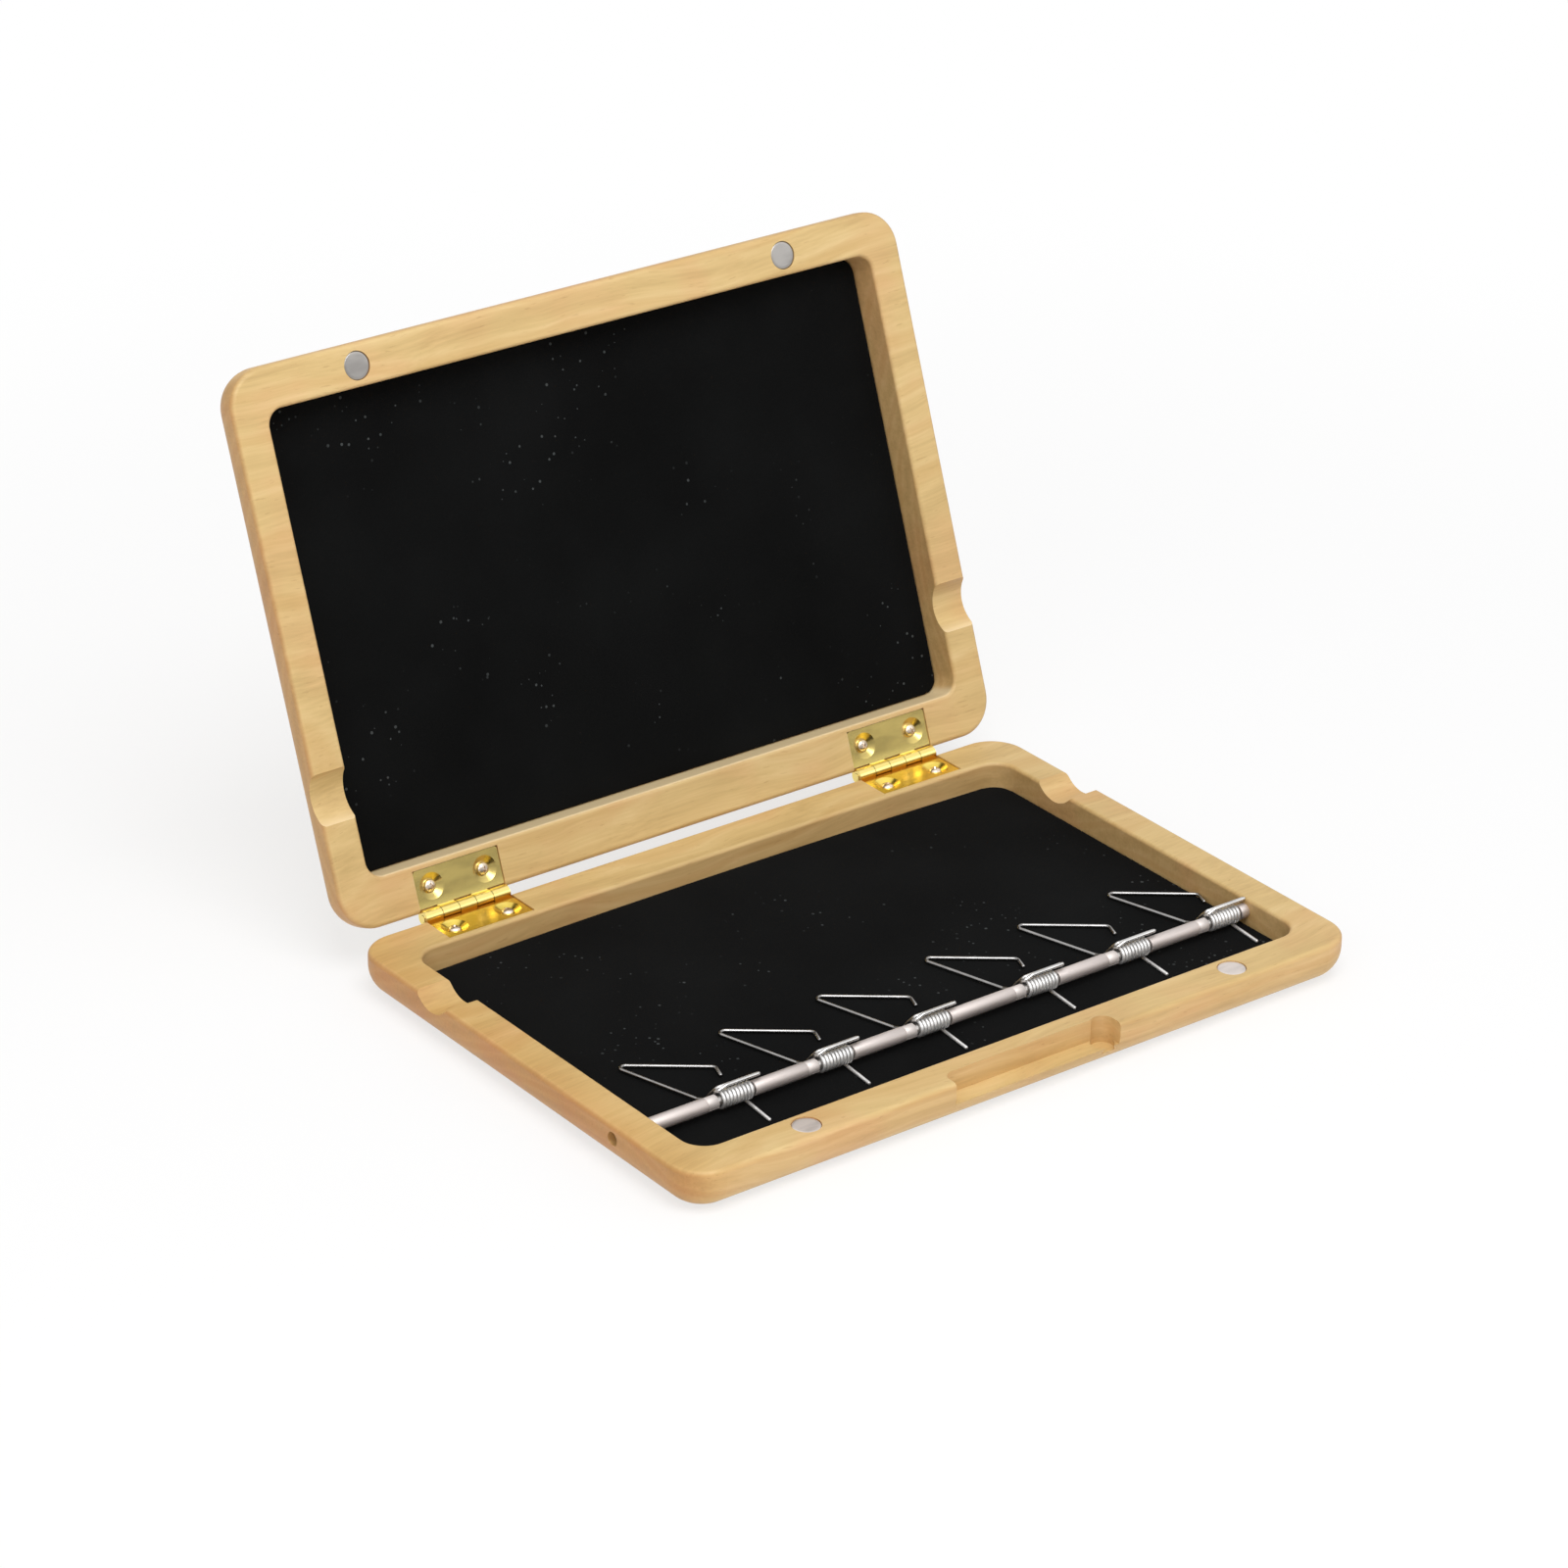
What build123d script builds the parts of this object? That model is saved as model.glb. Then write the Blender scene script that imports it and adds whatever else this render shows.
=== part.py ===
from build123d import *
import math
import os

# A hinged wooden case for six bassoon reeds, held open as on a shop table.
# Millimetres. X runs along the case, -Y is the front edge with the magnets, +Y is
# the hinged edge, +Z is up, and the origin is the centre of the base's underside.
# The lid is modelled shut and then turned about the hinge pins.

# Case body
case_length = 142.0
case_depth = 98.0
base_height = 8.0
lid_height = 8.0
corner_radius = 6.9
edge_radius = 5.5
outer_ease = 0.9
inner_ease = 0.7
side_wall = 6.7
front_wall = 7.6
back_wall = 8.5
base_floor_share = 0.25
lid_roof = 1.5
base_pocket_radius = 4.4
lid_pocket_radius = 3.0
overrun = 1.0

# Linings
base_lining_share = 0.175
lid_lining_thickness = 0.8
lining_clearance = 0.1

# Side vents, each half of a rounded gap across the joint of base and lid
vent_from_back = 24.1
vent_radius = 5.5
vent_depth = 2.4

# Finger notch in the front edge of the base
notch_length = 35.0
notch_inset = 3.8
notch_drop = 4.0
notch_end_radius = 1.8
dimple_diameter = 4.2
dimple_from_end = 2.1
dimple_inset = 4.2
dimple_drop = 5.0

# Hinges
lid_open_angle = 110.4
hinge_overhang = 0.84
hinge_from_end = 23.8
leaf_width = 17.5
leaf_reach = 8.3
leaf_thickness = 0.7
leaf_sink = 0.2
leaf_corner = 0.6
mortice_clearance = 0.1
knuckle_diameter = 2.8
knuckle_count = 5
knuckle_gap = 0.12
knuckle_room = 0.2
pin_diameter = 1.2
pin_clearance = 0.05

# Hinge screws
screw_spacing = 11.0
screw_from_pin = 5.0
screw_shank = 1.6
screw_length = 5.2
screw_head = 3.4
screw_rise = 0.15
screw_clearance = 0.05

# Magnets
magnet_diameter = 5.0
magnet_thickness = 2.0
magnet_from_end = 25.6
magnet_from_front = 3.9
magnet_recess = 0.1
magnet_clearance = 0.05

# Rod across the base, with a tube between each two clips
rod_diameter = 1.8
rod_clearance = 0.05
rod_from_front = 21.7
rod_end_inset = 1.2
rod_socket_depth = 4.0
rod_mouth_diameter = 2.5
rod_mouth_depth = 2.2
rod_end_room = 0.2
spacer_diameter = 2.6
spacer_gap = 0.2
collar_diameter = 2.5
collar_length = 2.9

# Wire clips
clip_count = 6
clip_middle_extra = 3.0
first_coil_from_wall = 14.8
last_coil_from_wall = 8.3
wire_diameter = 0.6
wire_sides = 4
coil_turns = 3.5
coil_pitch = 1.65
foot_clearance = 0.1
loop_clearance = 0.1
loop_reach = 22.4
loop_lean = 6.2
elbow_reach = 11.6
elbow_side = 7.6
hook_length = 1.8
hook_lean = 0.3
foot_reach = 7.4
foot_side = 4.2
foot_back = 0.4
foot_elbow_side = 5.1
foot_start_side = 0.9
leg_end_reach = 4.4
leg_end_lean = 1.3
leg_end_rise = 0.4
riser_reach = 2.6
riser_lean = 1.0
riser_drop = 0.6
shoulder_reach = 2.1
shoulder_side = 0.1
shoulder_rise = 1.8
bar_start_side = 1.8
bar_reach = 0.2
bar_gap = 0.6
bar_end_side = 7.45
return_reach = 2.3
return_side = 7.3
return_rise = 1.5
entry_rise = 1.0
entry_side = 0.1
tip_bend = 0.9
elbow_bend = 1.5
wire_bend = 0.62

# Places worked out from the sizes
half_length = case_length / 2
half_depth = case_depth / 2
hinge_place = half_length - hinge_from_end
magnet_place = half_length - magnet_from_end
base_floor = base_height * base_floor_share
base_lining_thickness = base_height * base_lining_share
pocket_half = half_length - side_wall
pocket_front = -half_depth + front_wall
pocket_back = half_depth - back_wall
pin_y = half_depth + hinge_overhang
pin_z = base_height
lining_top = base_floor + base_lining_thickness
wire_radius = wire_diameter / 2
coil_radius = rod_diameter / 2 + rod_clearance + wire_radius
rod_y = -half_depth + rod_from_front
rod_z = lining_top + wire_diameter + foot_clearance + coil_radius + wire_radius
foot_z = lining_top + wire_radius - rod_z
loop_z = foot_z + loop_clearance
coil_length = coil_turns * coil_pitch + wire_diameter
hinge_pin_axis = Axis((0, pin_y, pin_z), (1, 0, 0))

os.makedirs("parts", exist_ok=True)


def block(x0, x1, y0, y1, z0, z1):
    """A box between two corners."""
    centre = Location(((x0 + x1) / 2, (y0 + y1) / 2, (z0 + z1) / 2))
    return centre * Box(x1 - x0, y1 - y0, z1 - z0)


def cylinder_x(diameter, x0, x1, y, z):
    """A round bar along X between x0 and x1."""
    turn = Location(((x0 + x1) / 2, y, z), (0, 90, 0))
    return turn * Cylinder(diameter / 2, x1 - x0)


def rounded_slab(x_half, y0, y1, z0, z1, radius):
    """A slab with rounded upright corners."""
    face = RectangleRounded(2 * x_half, y1 - y0, radius)
    return Location((0, (y0 + y1) / 2, z0)) * extrude(face, z1 - z0)


def edges_at(shape, z):
    """The edges of a shape that lie flat at one height."""
    return shape.edges().filter_by_position(Axis.Z, z, z)


def tray(height, floor, pocket_radius):
    """One half of the case, opening upward from its outer face at z = 0."""
    body = rounded_slab(half_length, -half_depth, half_depth, 0, height, corner_radius)
    body = fillet(edges_at(body, 0), edge_radius)
    body = fillet(edges_at(body, height), outer_ease)
    pocket = rounded_slab(pocket_half, pocket_front, pocket_back, floor, height, pocket_radius)
    body = body - pocket
    rim = [e for e in edges_at(body, height) if abs(e.center().X) < pocket_half + inner_ease
           and pocket_front - inner_ease < e.center().Y < pocket_back + inner_ease]
    return fillet(rim, inner_ease)


def hinge_cut(x, height):
    """Mortice and knuckle groove of one hinge in a half whose rim is at a height."""
    x0 = x - leaf_width / 2 - mortice_clearance
    x1 = x + leaf_width / 2 + mortice_clearance
    mortice = block(x0, x1, pin_y - leaf_reach - mortice_clearance, half_depth + overrun,
                    height - leaf_sink - leaf_thickness, height + overrun)
    groove = cylinder_x(knuckle_diameter + 2 * knuckle_room, x0, x1, pin_y, height)
    return mortice + groove


def screw_places(x):
    """The X places of the two screws in one leaf."""
    return x - screw_spacing / 2, x + screw_spacing / 2


def half_with_fittings(height, floor, pocket_radius):
    """A tray with its vents, hinge mortices, screw holes and magnet bores."""
    body = tray(height, floor, pocket_radius)
    vent_y = half_depth - vent_from_back
    body -= cylinder_x(2 * vent_radius, -half_length - overrun, half_length + overrun,
                       vent_y, height + vent_radius - vent_depth)
    leaf_floor = height - leaf_sink - leaf_thickness
    hole_depth = screw_length + screw_clearance
    for side in (-1, 1):
        body -= hinge_cut(side * hinge_place, height)
        for x in screw_places(side * hinge_place):
            hole = Cylinder(screw_shank / 2 + screw_clearance, hole_depth)
            body -= Location((x, pin_y - screw_from_pin, leaf_floor - hole_depth / 2)) * hole
        bore_depth = magnet_thickness + magnet_recess
        bore = Cylinder(magnet_diameter / 2 + magnet_clearance, bore_depth)
        body -= Location((side * magnet_place, -half_depth + magnet_from_front,
                          height - bore_depth / 2)) * bore
    return body


def flip(shape, rim_height):
    """Turn a piece over, so that a rim modelled at one height meets the rim of the base."""
    middle = (base_height + rim_height) / 2
    return mirror(shape, Plane(origin=(0, 0, middle), z_dir=(0, 0, 1)))


def opened(shape):
    """Swing a piece of the shut lid to the pose on the table."""
    return shape.rotate(hinge_pin_axis, -lid_open_angle)


def base_tray():
    """The wooden base, with the finger notch and the rod's holes."""
    body = half_with_fittings(base_height, base_floor, base_pocket_radius)
    front = -half_depth
    notch_face = RectangleRounded(notch_length, 2 * notch_inset, notch_end_radius)
    notch = extrude(notch_face, notch_drop + overrun)
    body -= Location((0, front, base_height - notch_drop)) * notch
    dimple = Cylinder(dimple_diameter / 2, dimple_drop + overrun)
    dimple_x = notch_length / 2 - dimple_from_end
    dimple_z = base_height - dimple_drop + (dimple_drop + overrun) / 2
    body -= Location((dimple_x, front + dimple_inset - dimple_diameter / 2, dimple_z)) * dimple
    bore = rod_diameter + 2 * rod_clearance
    body -= cylinder_x(bore, -half_length - overrun, pocket_half + rod_socket_depth, rod_y, rod_z)
    body -= cylinder_x(rod_mouth_diameter, -half_length - overrun,
                       -half_length + rod_mouth_depth, rod_y, rod_z)
    return body


def lining(floor, thickness, pocket_radius):
    """A velvet-covered board that fills the floor of a pocket."""
    return rounded_slab(pocket_half - lining_clearance, pocket_front + lining_clearance,
                        pocket_back - lining_clearance, floor, floor + thickness,
                        pocket_radius - lining_clearance)


def knuckle_span(x, index):
    """The two ends of one knuckle of a hinge."""
    step = leaf_width / knuckle_count
    start = x - leaf_width / 2 + index * step
    return start + knuckle_gap / 2, start + step - knuckle_gap / 2


def hinge_leaf(x, first):
    """A rolled brass leaf with every second knuckle, sunk in the base's rim."""
    top = pin_z - leaf_sink
    plate = block(x - leaf_width / 2, x + leaf_width / 2, pin_y - leaf_reach, pin_y,
                  top - leaf_thickness, top)
    front_edges = plate.edges().filter_by(Axis.Z).group_by(Axis.Y)[0]
    leaf = fillet(front_edges, leaf_corner)
    for index in range(1 - first, knuckle_count, 2):
        x0, x1 = knuckle_span(x, index)
        room = knuckle_diameter / 2 + knuckle_room
        leaf -= block(x0 - knuckle_gap, x1 + knuckle_gap, pin_y - room, pin_y + room,
                      top - leaf_thickness, top)
    for index in range(first, knuckle_count, 2):
        x0, x1 = knuckle_span(x, index)
        leaf += cylinder_x(knuckle_diameter, x0, x1, pin_y, pin_z)
    bore = pin_diameter + 2 * pin_clearance
    leaf -= cylinder_x(bore, x - leaf_width, x + leaf_width, pin_y, pin_z)
    for screw_x in screw_places(x):
        seat = screw_solid(screw_x, screw_clearance)
        leaf -= seat
    return leaf


def screw_solid(x, margin):
    """A raised countersunk screw, or with a margin the hole that takes it."""
    head = screw_head / 2 + margin
    shank = screw_shank / 2 + margin
    top = pin_z - leaf_sink
    neck = top - leaf_thickness
    tip = neck - screw_length - margin
    crown = top + screw_rise
    outline = Polyline((0, 0, tip), (shank, 0, tip), (shank, 0, neck), (head, 0, top),
                       (0, 0, crown), (0, 0, tip))
    return Location((x, pin_y - screw_from_pin, 0)) * revolve(make_face(outline), Axis.Z)


def hinge_pin(x):
    """The pin through all the knuckles of one hinge."""
    return cylinder_x(pin_diameter, x - leaf_width / 2, x + leaf_width / 2, pin_y, pin_z)


def magnet(side):
    """A disc magnet, a hair below the rim of the base."""
    top = base_height - magnet_recess
    disc = Cylinder(magnet_diameter / 2, magnet_thickness)
    return Location((side * magnet_place, -half_depth + magnet_from_front,
                     top - magnet_thickness / 2)) * disc


def coil_starts():
    """The left end of each clip's coil, from the left of the case to the right."""
    first = -pocket_half + first_coil_from_wall
    last = pocket_half - last_coil_from_wall
    pitch = (last - first - clip_middle_extra) / (clip_count - 1)
    starts = []
    for index in range(clip_count):
        extra = clip_middle_extra if index >= clip_count / 2 else 0
        starts.append(first + index * pitch + extra)
    return starts


def rod():
    """The steel rod, let into both side walls of the base."""
    x0 = -half_length + rod_end_inset
    x1 = pocket_half + rod_socket_depth - rod_end_room
    return cylinder_x(rod_diameter, x0, x1, rod_y, rod_z)


def tube_on_rod(diameter, x0, x1):
    """A tube on the rod."""
    tube = cylinder_x(diameter, x0, x1, rod_y, rod_z)
    return tube - cylinder_x(rod_diameter + 2 * rod_clearance, x0, x1, rod_y, rod_z)


def rod_tubes():
    """The long tubes that keep the clips apart and the short collar left of each coil."""
    long_tubes = []
    collars = []
    left = -pocket_half
    for start in coil_starts():
        collar_end = start - spacer_gap
        collar_start = collar_end - collar_length
        long_tubes.append(tube_on_rod(spacer_diameter, left, collar_start))
        collars.append(tube_on_rod(collar_diameter, collar_start, collar_end))
        left = start + coil_length + spacer_gap
    long_tubes.append(tube_on_rod(spacer_diameter, left, pocket_half))
    return long_tubes, collars


def helix_point(angle):
    """A point of the coil and its direction, from the right end, in the clip's own place."""
    advance = coil_pitch / (2 * math.pi)
    right = wire_radius + coil_turns * coil_pitch
    point = Vector(right - advance * angle, coil_radius * math.cos(angle),
                   -coil_radius * math.sin(angle))
    direction = Vector(-advance, -coil_radius * math.sin(angle), -coil_radius * math.cos(angle))
    return point, direction.normalized()


def biarc(start, start_way, end, end_way):
    """Two arcs that leave one point and reach another along given directions."""
    span = end - start
    both = start_way + end_way
    spread = 2 * (1 - start_way.dot(end_way))
    along = span.dot(both)
    reach = (math.sqrt(along * along + spread * span.dot(span)) - along) / spread
    first = start + start_way * reach
    second = end - end_way * reach
    middle = (first + second) / 2
    middle_way = (second - first).normalized()
    return [Edge.make_tangent_arc(start, start_way, middle),
            Edge.make_tangent_arc(middle, middle_way, end)]


def clip_route():
    """The corners of the loop, from its hooked end round to the coil's right end."""
    bar_rise = coil_radius + wire_diameter + bar_gap
    coil_right, coil_way = helix_point(0)
    return [
        Vector(elbow_side - hook_lean, elbow_reach - hook_length, loop_z),
        Vector(elbow_side, elbow_reach, loop_z),
        Vector(-loop_lean, loop_reach, loop_z),
        Vector(-leg_end_lean, leg_end_reach, loop_z + leg_end_rise),
        Vector(-riser_lean, riser_reach, -riser_drop),
        Vector(shoulder_side, shoulder_reach, shoulder_rise),
        Vector(bar_start_side, bar_reach, bar_rise),
        Vector(bar_end_side, bar_reach, bar_rise),
        Vector(return_side, return_reach, return_rise),
        coil_right - coil_way * entry_rise,
        coil_right,
    ]


def clip_path():
    """The whole centre line of a clip, without its foot."""
    bends = [elbow_bend, tip_bend] + [wire_bend] * 7
    edges = list(FilletPolyline(*clip_route(), radius=bends).edges())
    half_turns = round(2 * coil_turns)
    for index in range(half_turns):
        start, start_way = helix_point(index * math.pi)
        end, end_way = helix_point((index + 1) * math.pi)
        edges += biarc(start, start_way, end, end_way)
    return Wire(edges)


def wire_along(path):
    """The wire along a path, with few sides because its turns are many and fine."""
    section = Plane(origin=path @ 0, z_dir=path % 0) * RegularPolygon(wire_radius, wire_sides)
    return sweep(section, path=path)


def at_clip(shape, start):
    """Put a clip's piece on the rod at the left end of its coil."""
    return Location((start, rod_y, rod_z)) * shape


def foot():
    """The end of the wire that is bent under the coil and rests on the lining."""
    corners = [Vector(foot_start_side, -foot_back, foot_z),
               Vector(foot_elbow_side, -foot_back, foot_z),
               Vector(foot_side, -foot_reach, foot_z)]
    return wire_along(Wire(FilletPolyline(*corners, radius=wire_bend).edges()))


def least_gap(path):
    """The least gap between stretches of a clip's wire that aren't neighbours."""
    steps = math.ceil(path.length / wire_radius)
    points = [path @ (i / steps) for i in range(steps + 1)]
    near = math.ceil(2 * math.pi * coil_radius / 2 / wire_radius)
    gaps = [(points[i] - points[j]).length for i in range(len(points))
            for j in range(i + near, len(points))]
    return min(gaps) - wire_diameter


def main():
    """Write every piece to its own file."""
    lid_half = half_with_fittings(lid_height, lid_roof, lid_pocket_radius)
    lid_board = lining(lid_roof, lid_lining_thickness, lid_pocket_radius)
    nodes = {
        "base_tray": base_tray(),
        "base_lining": lining(base_floor, base_lining_thickness, base_pocket_radius),
        "lid_shell": opened(flip(lid_half, lid_height)),
        "lid_lining": opened(flip(lid_board, lid_height)),
        "clip_rod": rod(),
    }
    for name, side in (("left", -1), ("right", 1)):
        x = side * hinge_place
        screws = [screw_solid(place, 0) for place in screw_places(x)]
        nodes[name + "_hinge_base_leaf"] = hinge_leaf(x, 0)
        nodes[name + "_hinge_lid_leaf"] = opened(flip(hinge_leaf(x, 1), base_height))
        nodes[name + "_hinge_pin"] = hinge_pin(x)
        nodes[name + "_base_leaf_screws"] = Compound(children=screws)
        lid_screws = [opened(flip(screw, base_height)) for screw in screws]
        nodes[name + "_lid_leaf_screws"] = Compound(children=lid_screws)
        nodes[name + "_base_magnet"] = magnet(side)
        nodes[name + "_lid_magnet"] = opened(flip(magnet(side), base_height))
    long_tubes, collars = rod_tubes()
    for index, tube in enumerate(long_tubes):
        nodes["rod_spacer_" + str(index + 1)] = tube
    for index, tube in enumerate(collars):
        nodes["rod_collar_" + str(index + 1)] = tube
    path = clip_path()
    print("clip wire", round(path.length, 1), "mm, least gap to itself", round(least_gap(path), 3))
    clip = wire_along(path)
    for index, start in enumerate(coil_starts()):
        nodes["clip_" + str(index + 1)] = at_clip(clip, start)
        nodes["clip_" + str(index + 1) + "_foot"] = at_clip(foot(), start)
    for name, shape in nodes.items():
        export_step(shape, "parts/" + name + ".step")
        print(name, "volume", round(shape.volume, 2))


main()
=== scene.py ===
import bpy
import bmesh
import math
from mathutils import Euler, Matrix, Vector, noise


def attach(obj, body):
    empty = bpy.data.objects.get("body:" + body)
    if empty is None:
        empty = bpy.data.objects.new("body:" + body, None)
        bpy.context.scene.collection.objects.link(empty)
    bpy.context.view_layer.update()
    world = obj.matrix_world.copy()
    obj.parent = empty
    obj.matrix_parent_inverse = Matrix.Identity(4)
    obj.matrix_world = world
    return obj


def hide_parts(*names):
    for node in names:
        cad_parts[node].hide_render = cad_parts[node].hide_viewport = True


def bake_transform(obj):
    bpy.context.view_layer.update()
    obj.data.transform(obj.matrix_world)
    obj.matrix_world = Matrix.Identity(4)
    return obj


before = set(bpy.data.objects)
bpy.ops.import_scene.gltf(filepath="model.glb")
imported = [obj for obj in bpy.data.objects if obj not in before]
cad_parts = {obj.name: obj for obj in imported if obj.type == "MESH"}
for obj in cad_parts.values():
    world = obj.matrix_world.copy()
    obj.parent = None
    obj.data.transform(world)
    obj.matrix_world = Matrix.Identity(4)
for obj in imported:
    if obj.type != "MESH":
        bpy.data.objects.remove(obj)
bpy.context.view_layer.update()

# The camera stands to the left of the open case and above it, and looks down
# across the front edge with a long lens, as for a shop photograph.
eye = bpy.data.cameras.new("camera")
eye.sensor_width = 36.0
eye.lens = 125.51
eye.clip_start = 0.05
eye.clip_end = 20.0
camera = bpy.data.objects.new("camera", eye)
camera.location = (-0.5129, -0.6478, 0.4468)
camera.rotation_euler = Euler([math.radians(a) for a in (63.6469, -0.6918, -37.1313)])
bpy.context.scene.collection.objects.link(camera)
bpy.context.scene.camera = camera


# The table is one wide white sheet of paper. It takes the case's soft shadow,
# and further off it is pure white to the lens and in the metal.
def shader_of(name):
    """A new material, its node tree and its one surface shader."""
    material = bpy.data.materials.new(name)
    material.use_nodes = True
    tree = material.node_tree
    return material, tree, tree.nodes["Principled BSDF"]


def put_in(socket, value):
    """Set a socket to a value, or join another node's output to it."""
    if isinstance(value, bpy.types.NodeSocket):
        socket.id_data.links.new(value, socket)
    elif isinstance(value, bpy.types.Node):
        socket.id_data.links.new(value.outputs[0], socket)
    else:
        socket.default_value = value


def step(tree, kind, settings=None, **sockets):
    """One node, with its settings and its named sockets."""
    made = tree.nodes.new("ShaderNode" + kind)
    for key, value in (settings or {}).items():
        setattr(made, key, value)
    for key, value in sockets.items():
        put_in(made.inputs[key.replace("_", " ")], value)
    return made


def sum_of(tree, how, *values):
    """A Math node on one, two or three values."""
    made = tree.nodes.new("ShaderNodeMath")
    made.operation = how
    for index, value in enumerate(values):
        put_in(made.inputs[index], value)
    return made.outputs[0]


def window(tree, value, low, high):
    """0 where a value is under low, 1 where it is over high, and a slope between."""
    made = step(tree, "MapRange", {"interpolation_type": "SMOOTHSTEP"}, Value=value)
    made.inputs["From Min"].default_value = low
    made.inputs["From Max"].default_value = high
    return made.outputs[0]


def tinted(tree, how, factor, under, over):
    """One colour laid on another."""
    made = step(tree, "Mix", {"data_type": "RGBA", "blend_type": how})
    put_in(made.inputs["Factor"], factor)
    put_in(made.inputs[6], under)
    put_in(made.inputs[7], over)
    return made.outputs[2]


def rays_seen(tree):
    """1 for the rays that reach the lens straight or through glass, and 1 for those off metal."""
    seen = step(tree, "LightPath")
    straight = sum_of(tree, "MAXIMUM", seen.outputs["Is Camera Ray"],
                      seen.outputs["Is Transmission Ray"])
    return straight, seen.outputs["Is Glossy Ray"]


table_width = 6.0
shadow_edge, white_edge = 0.13, 0.4
glow_near_case = 0.7
bpy.ops.mesh.primitive_grid_add(x_subdivisions=2, y_subdivisions=2, size=table_width)
table_top = bpy.context.object
table_top.name = "table_top"
paper, tree, shader = shader_of("white_paper")
shader.inputs["Base Color"].default_value = (0.93, 0.93, 0.93, 1)
shader.inputs["Roughness"].default_value = 0.9
shader.inputs["Specular IOR Level"].default_value = 0.1
white_glow = step(tree, "Emission", Color=(1, 1, 1, 1), Strength=1.0)
spot = step(tree, "VectorMath", {"operation": "LENGTH"})
put_in(spot.inputs[0], step(tree, "TexCoord").outputs["Object"])
far_off = window(tree, spot.outputs["Value"], shadow_edge, white_edge)
glow_share = sum_of(tree, "MULTIPLY", sum_of(tree, "MAXIMUM", *rays_seen(tree)),
                    sum_of(tree, "MULTIPLY_ADD", far_off, 1 - glow_near_case, glow_near_case))
mixed = step(tree, "MixShader")
put_in(mixed.inputs[0], glow_share)
put_in(mixed.inputs[1], shader.outputs[0])
put_in(mixed.inputs[2], white_glow)
put_in(tree.nodes["Material Output"].inputs["Surface"], mixed)
table_top.data.materials.append(paper)


# The room is a white tent of cloth: full white to the lens and in metal that
# faces its ceiling, and half as strong on the case. Three square lamps stand
# behind the cloth, a large one overhead and a weaker one at each side.
room_light = 0.5
ceiling_start, ceiling_full = 0.05, 0.75
room = bpy.data.worlds.new("room")
bpy.context.scene.world = room
room.use_nodes = True
tree = room.node_tree
straight, off_metal = rays_seen(tree)
height = step(tree, "SeparateXYZ", Vector=step(tree, "TexCoord").outputs["Generated"])
overhead = window(tree, height.outputs["Z"], ceiling_start, ceiling_full)
room_strength = sum_of(tree, "MULTIPLY_ADD", straight, 1 - room_light, room_light)
room_strength = sum_of(tree, "MULTIPLY_ADD", sum_of(tree, "MULTIPLY", off_metal, overhead),
                       1 - room_light, room_strength)
tree.nodes["Background"].inputs["Color"].default_value = (1, 1, 1, 1)
put_in(tree.nodes["Background"].inputs["Strength"], room_strength)

bpy.context.scene.view_settings.view_transform = "Standard"


def soft_lamp(name, place, aim, width, power):
    """A square studio lamp behind cloth, turned towards a point of the case."""
    lamp = bpy.data.lights.new(name, "AREA")
    lamp.shape = "SQUARE"
    lamp.size = width
    lamp.energy = power
    stand = bpy.data.objects.new(name, lamp)
    stand.location = place
    stand.rotation_euler = (Vector(aim) - Vector(place)).to_track_quat("-Z", "Y").to_euler()
    bpy.context.scene.collection.objects.link(stand)


soft_lamp("lamp_over", (-0.15, -0.45, 1.0), (0, 0, 0.02), 0.7, 7.4)
soft_lamp("lamp_left", (-1.0, -0.5, 0.6), (0, 0, 0.03), 0.6, 1.6)
soft_lamp("lamp_right", (0.8, -0.9, 0.6), (0, 0, 0.03), 0.6, 1.2)


# Base and lid are each milled from a board of pale maple, with the grain along
# the case, sanded round outside and given a thin satin lacquer. The rod's hole
# comes out at the base's left end. Painted shade darkens the upright sides, the
# base's left end and the mouth of the rod's hole, and painted light makes the
# lid's ledge by the hinges paler.
lid_angle = math.radians(110.4)
pin_line = Vector((0, 0.04984, 0.008))
dark_grain = (0.52, 0.34, 0.13, 1)
middle_grain = (0.67, 0.47, 0.20, 1)
pale_grain = (0.775, 0.575, 0.285, 1)
fleck_brown = (0.62, 0.46, 0.34, 1)
ring_brown = (0.88, 0.78, 0.66, 1)
blush_pink = (1.0, 0.93, 0.94, 1)
side_painted_shade = (0.99, 0.92, 0.90, 1)
end_grain_brown = (0.80, 0.66, 0.56, 1)
left_end_painted_shade = (0.96, 0.86, 0.74, 1)
left_end_start, left_end_full = 58, 72
rod_y, rod_z = -27.3, 5.65
rod_hole_radius = 1.12
rod_hole_painted_shade = (0.07, 0.025, 0.008, 1)
ledge_start, ledge_full = -30, -20
ledge_painted_light = (0.88, 0.69, 0.40, 1)


def board_place(tree, opened, offset):
    """Millimetres along the board, with the lid's board laid back shut."""
    place = step(tree, "TexCoord").outputs["Object"]
    turn = (lid_angle, 0, 0) if opened else (0, 0, 0)
    back = Matrix.Rotation(lid_angle, 3, "X") @ pin_line if opened else Vector()
    return step(tree, "Mapping", Vector=place, Location=Vector(offset) - back * 1000,
                Rotation=turn, Scale=(1000, 1000, 1000))


def apart(tree, across, up):
    """How far off a point is, from its distances along two sides of a right angle."""
    return sum_of(tree, "SQRT", sum_of(tree, "MULTIPLY_ADD", up, up,
                                       sum_of(tree, "MULTIPLY", across, across)))


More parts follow.
